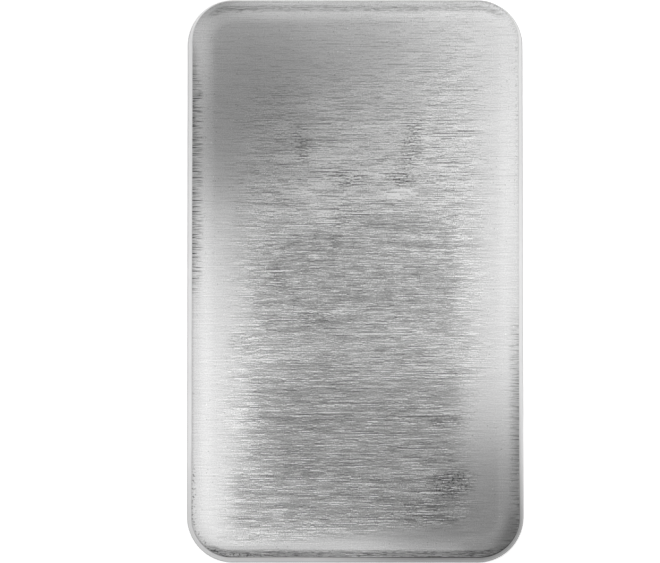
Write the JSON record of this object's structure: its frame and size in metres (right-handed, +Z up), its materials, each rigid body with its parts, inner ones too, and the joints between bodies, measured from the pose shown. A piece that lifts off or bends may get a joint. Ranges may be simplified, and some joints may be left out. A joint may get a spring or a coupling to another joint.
{
  "type": "metal ingot",
  "caption": "Flat silver bullion bar with rounded corners, drafted walls and a cross-brushed face with a soft shoulder; it lies on its plain face and is stock for storing or remelting.",
  "frame": {"origin": "middle of the resting face", "axes": "+X across the bar, along its brush strokes; +Y along the bar's length; +Z up, out of the brushed face"},
  "size_m": [0.051, 0.0854, 0.0071],
  "materials": {
    "silver": "fine silver, brushed across the bar on its upper face, as cast on its walls"
  },
  "bodies": {
    "root": {"ingot": "silver"}
  },
  "joints": []
}
